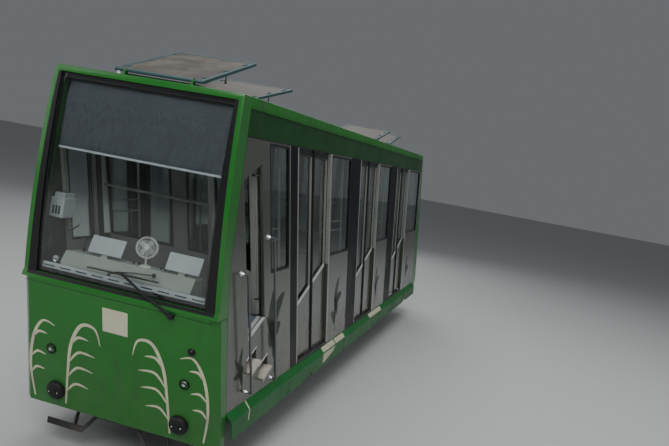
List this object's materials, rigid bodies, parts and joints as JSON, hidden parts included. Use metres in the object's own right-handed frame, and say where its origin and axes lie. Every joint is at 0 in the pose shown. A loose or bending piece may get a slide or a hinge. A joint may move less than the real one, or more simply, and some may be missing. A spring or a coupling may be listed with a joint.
{
  "type": "funicular railway car",
  "caption": "Sloping-bodied funicular car with a raked uphill windscreen, glazed sides, sliding passenger doors, a cab door, roof hatches and two wheelsets.",
  "frame": {"origin": "on the floor under the middle of the car, at the wheel flanges' lowest points", "axes": "+X uphill along the track, +Y across to the side with the open cab door, +Z square to the track"},
  "size_m": [10.6171, 1.996, 3.6424],
  "materials": {
    "body_green": "gloss",
    "band_green": "gloss",
    "skirt_green": "satin",
    "panel_grey": "gloss",
    "pillar_black": "gloss",
    "leaf_grey": "gloss",
    "frame_steel": "satin",
    "rail_steel": "satin",
    "wheel_steel": "machined",
    "box_iron": "rough",
    "glass": "clear",
    "rubber": "matte",
    "lamp_lens": "clear",
    "floor": "studded",
    "interior_grey": "satin",
    "seat": "moulded",
    "step_cream": "textured",
    "threshold": "ribbed",
    "hatch_blue": "satin",
    "wiper_black": "satin"
  },
  "bodies": {
    "car_body": {"axle_boxes": "box_iron", "suspension_springs": "box_iron", "underframe": "frame_steel", "floor_deck": "floor", "cab_floor": "floor", "side_panels_right": "panel_grey", "side_panels_left": "panel_grey", "boarding_steps": "step_cream", "door_pillars": "pillar_black", "side_windows": "glass", "door_thresholds": "threshold", "cant_bands": "band_green", "roof_shell": "body_green", "hatch_curbs": "body_green", "front_frame": "body_green", "windscreen": "glass", "front_apron": "body_green", "rear_frame": "body_green", "rear_window": "glass", "rear_apron": "body_green", "skirts": "skirt_green", "door_rails": "rail_steel", "handrails": "rail_steel", "buffers": "rubber", "lamps": "lamp_lens", "console": "interior_grey", "cab_partition": "interior_grey", "benches": "seat", "grab_poles": "rail_steel", "rope_socket": "box_iron", "track_brakes": "box_iron", "rail_guards": "frame_steel", "cross_bearers": "frame_steel", "cab_hinges": "rail_steel"},
    "wheelset_uphill": {"axle_uphill": "wheel_steel", "wheels_uphill": "wheel_steel"},
    "wheelset_downhill": {"axle_downhill": "wheel_steel", "wheels_downhill": "wheel_steel"},
    "cab_door_right": {"cab_door_right": "leaf_grey"},
    "cab_door_left": {"cab_door_left": "leaf_grey"},
    "wiper": {"wiper": "wiper_black"},
    "door_right_1_up": {"door_right_1_up": "leaf_grey"},
    "door_right_1_down": {"door_right_1_down": "leaf_grey"},
    "door_right_2_up": {"door_right_2_up": "leaf_grey"},
    "door_right_2_down": {"door_right_2_down": "leaf_grey"},
    "door_right_3_up": {"door_right_3_up": "leaf_grey"},
    "door_right_3_down": {"door_right_3_down": "leaf_grey"},
    "door_left_1_up": {"door_left_1_up": "leaf_grey"},
    "door_left_1_down": {"door_left_1_down": "leaf_grey"},
    "door_left_2_up": {"door_left_2_up": "leaf_grey"},
    "door_left_2_down": {"door_left_2_down": "leaf_grey"},
    "door_left_3_up": {"door_left_3_up": "leaf_grey"},
    "door_left_3_down": {"door_left_3_down": "leaf_grey"},
    "roof_hatch_1": {"roof_hatch_1": "hatch_blue"},
    "roof_hatch_2": {"roof_hatch_2": "hatch_blue"},
    "roof_hatch_3": {"roof_hatch_3": "hatch_blue"},
    "roof_hatch_4": {"roof_hatch_4": "hatch_blue"}
  },
  "joints": [
    {"name": "wheelset_uphill_roll", "type": "hinge", "parent": "car_body", "child": "wheelset_uphill", "pos_m": [3.05, 0, 0.298], "axis": [0, 1, 0], "continuous": true},
    {"name": "wheelset_downhill_roll", "type": "hinge", "parent": "car_body", "child": "wheelset_downhill", "pos_m": [-3.05, 0, 0.298], "axis": [0, 1, 0], "continuous": true},
    {"name": "door_right_1_up_slide", "type": "slide", "parent": "car_body", "child": "door_right_1_up", "axis": [1, 0, 0], "range_m": [0, 0.5]},
    {"name": "door_right_1_down_slide", "type": "slide", "parent": "car_body", "child": "door_right_1_down", "axis": [-1, 0, 0], "range_m": [0, 0.5]},
    {"name": "door_right_2_up_slide", "type": "slide", "parent": "car_body", "child": "door_right_2_up", "axis": [1, 0, 0], "range_m": [0, 0.5]},
    {"name": "door_right_2_down_slide", "type": "slide", "parent": "car_body", "child": "door_right_2_down", "axis": [-1, 0, 0], "range_m": [0, 0.5]},
    {"name": "door_right_3_up_slide", "type": "slide", "parent": "car_body", "child": "door_right_3_up", "axis": [1, 0, 0], "range_m": [0, 0.5]},
    {"name": "door_right_3_down_slide", "type": "slide", "parent": "car_body", "child": "door_right_3_down", "axis": [-1, 0, 0], "range_m": [0, 0.5]},
    {"name": "door_left_1_up_slide", "type": "slide", "parent": "car_body", "child": "door_left_1_up", "axis": [1, 0, 0], "range_m": [0, 0.5]},
    {"name": "door_left_1_down_slide", "type": "slide", "parent": "car_body", "child": "door_left_1_down", "axis": [-1, 0, 0], "range_m": [0, 0.5]},
    {"name": "door_left_2_up_slide", "type": "slide", "parent": "car_body", "child": "door_left_2_up", "axis": [1, 0, 0], "range_m": [0, 0.5]},
    {"name": "door_left_2_down_slide", "type": "slide", "parent": "car_body", "child": "door_left_2_down", "axis": [-1, 0, 0], "range_m": [0, 0.5]},
    {"name": "door_left_3_up_slide", "type": "slide", "parent": "car_body", "child": "door_left_3_up", "axis": [1, 0, 0], "range_m": [0, 0.5]},
    {"name": "door_left_3_down_slide", "type": "slide", "parent": "car_body", "child": "door_left_3_down", "axis": [-1, 0, 0], "range_m": [0, 0.5]},
    {"name": "cab_door_right_hinge", "type": "hinge", "parent": "car_body", "child": "cab_door_right", "pos_m": [4.14808, 0.82483, 1.39719], "axis": [0.3792, -0.0371, 0.9246], "range_deg": [0, 90]},
    {"name": "cab_door_left_hinge", "type": "hinge", "parent": "car_body", "child": "cab_door_left", "pos_m": [4.14808, -0.82483, 1.39719], "axis": [0.3792, 0.0371, 0.9246], "range_deg": [0, 90]},
    {"name": "roof_hatch_1_hinge", "type": "hinge", "parent": "car_body", "child": "roof_hatch_1", "pos_m": [5.118, 0, 3.324], "axis": [0, 1, 0], "range_deg": [-17, 0]},
    {"name": "roof_hatch_2_hinge", "type": "hinge", "parent": "car_body", "child": "roof_hatch_2", "pos_m": [4.043, 0, 3.324], "axis": [0, 1, 0], "range_deg": [-12, 0]},
    {"name": "roof_hatch_3_hinge", "type": "hinge", "parent": "car_body", "child": "roof_hatch_3", "pos_m": [-1.382, 0, 3.324], "axis": [0, 1, 0], "range_deg": [-12.5, 0]},
    {"name": "roof_hatch_4_hinge", "type": "hinge", "parent": "car_body", "child": "roof_hatch_4", "pos_m": [-2.457, 0, 3.324], "axis": [0, 1, 0], "range_deg": [-12.5, 0]},
    {"name": "wiper_sweep", "type": "hinge", "parent": "car_body", "child": "wiper", "pos_m": [5.23406, 0.5, 1.5], "axis": [0.9935, 0, -0.1138], "range_deg": [-88, 0]}
  ],
  "couplings": [
    {"joint": "door_right_1_down_slide", "follows": "door_right_1_up_slide", "ratio": 1},
    {"joint": "door_right_2_down_slide", "follows": "door_right_2_up_slide", "ratio": 1},
    {"joint": "door_right_3_down_slide", "follows": "door_right_3_up_slide", "ratio": 1},
    {"joint": "door_left_1_down_slide", "follows": "door_left_1_up_slide", "ratio": 1},
    {"joint": "door_left_2_down_slide", "follows": "door_left_2_up_slide", "ratio": 1},
    {"joint": "door_left_3_down_slide", "follows": "door_left_3_up_slide", "ratio": 1}
  ]
}
